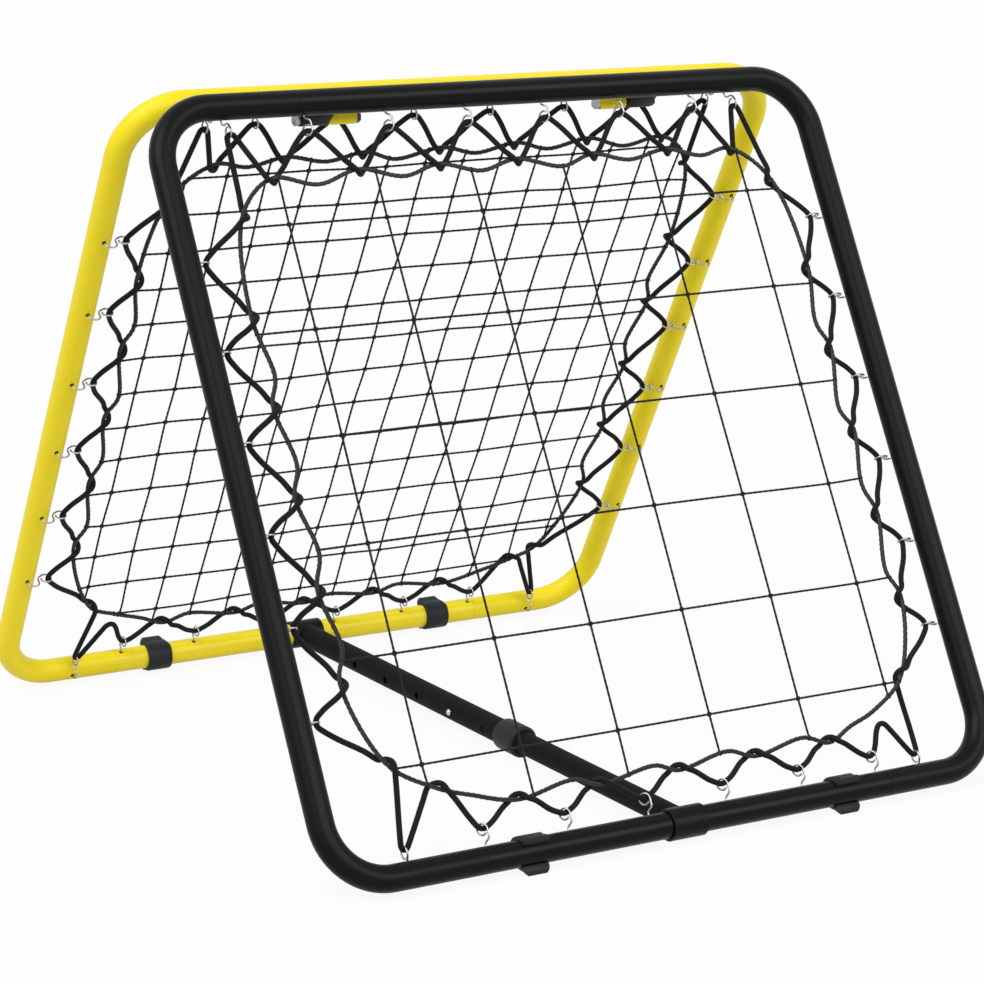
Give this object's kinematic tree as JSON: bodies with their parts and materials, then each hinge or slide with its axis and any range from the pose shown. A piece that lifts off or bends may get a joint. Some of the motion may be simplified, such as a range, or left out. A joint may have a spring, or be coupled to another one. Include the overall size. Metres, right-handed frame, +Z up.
{
  "type": "football rebounder",
  "caption": "Free-standing A-frame rebounder: square tube frames with laced coarse and fine nets, hinged at the top and held apart by a telescoping strut.",
  "frame": {"origin": "on the ground, below the middle of the object", "axes": "+Z up, +Y from the black front frame to the yellow rear frame, +X to the right seen from the front"},
  "size_m": [0.839, 0.8776, 0.7476],
  "materials": {
    "black_paint": "satin black powder coat",
    "yellow_paint": "satin yellow powder coat",
    "dark_plastic": "matt moulded dark grey",
    "bright_steel": "bright zinc plate",
    "spring_steel": "plain spring steel",
    "elastic_cord": "black woven cover",
    "border_rope": "dark grey braid",
    "twine": "black knotted twine"
  },
  "bodies": {
    "front_frame": {"front_border_rope": "border_rope", "front_bottom_tube": "black_paint", "front_bungee_with_hooks": "elastic_cord", "front_foot_left": "dark_plastic", "front_foot_right": "dark_plastic", "front_hinge_knuckle_left": "black_paint", "front_hinge_knuckle_right": "black_paint", "front_net": "twine", "front_side_tube_left": "black_paint", "front_side_tube_right": "black_paint", "front_top_tube": "black_paint", "hinge_bolt_left": "bright_steel", "hinge_bolt_right": "bright_steel", "hinge_nut_left": "bright_steel", "hinge_nut_right": "bright_steel"},
    "rear_frame": {"rear_border_rope": "border_rope", "rear_bottom_tube": "yellow_paint", "rear_bungee_with_hooks": "elastic_cord", "rear_foot_left": "dark_plastic", "rear_foot_right": "dark_plastic", "rear_hinge_knuckle_left": "yellow_paint", "rear_hinge_knuckle_right": "yellow_paint", "rear_net": "twine", "rear_side_tube_left": "yellow_paint", "rear_side_tube_right": "yellow_paint", "rear_top_tube": "yellow_paint"},
    "strut_outer": {"strut_outer_tube": "black_paint", "strut_collar": "dark_plastic", "strut_rear_sleeve": "black_paint"},
    "strut_inner": {"strut_inner_tube": "black_paint", "strut_front_sleeve": "black_paint", "button_spring": "spring_steel"},
    "snap_button": {"snap_button": "bright_steel"}
  },
  "joints": [
    {"name": "fold", "type": "hinge", "parent": "front_frame", "child": "rear_frame", "pos_m": [0, 0, 0.71303], "axis": [1, 0, 0], "range_deg": [-17.95, 6.35], "deforming": ["snap_button", "button_spring"]},
    {"name": "strut_inner_pivot", "type": "hinge", "parent": "front_frame", "child": "strut_inner", "pos_m": [0, -0.42158, 0.02], "axis": [1, 0, 0], "range_deg": [-9, 3.2]},
    {"name": "strut_outer_pivot", "type": "hinge", "parent": "rear_frame", "child": "strut_outer", "pos_m": [0, 0.42158, 0.02], "axis": [1, 0, 0], "range_deg": [-3.2, 9]},
    {"name": "button_press", "type": "slide", "parent": "strut_inner", "child": "snap_button", "axis": [1, 0, 0], "range_m": [0, 0.0045], "stiffness_N_per_m": 600, "springref_m": -0.002, "deforming": ["button_spring"]}
  ],
  "couplings": [
    {"joint": "strut_inner_pivot", "follows": "fold", "ratio": 0.5},
    {"joint": "strut_outer_pivot", "follows": "fold", "ratio": -0.5}
  ]
}
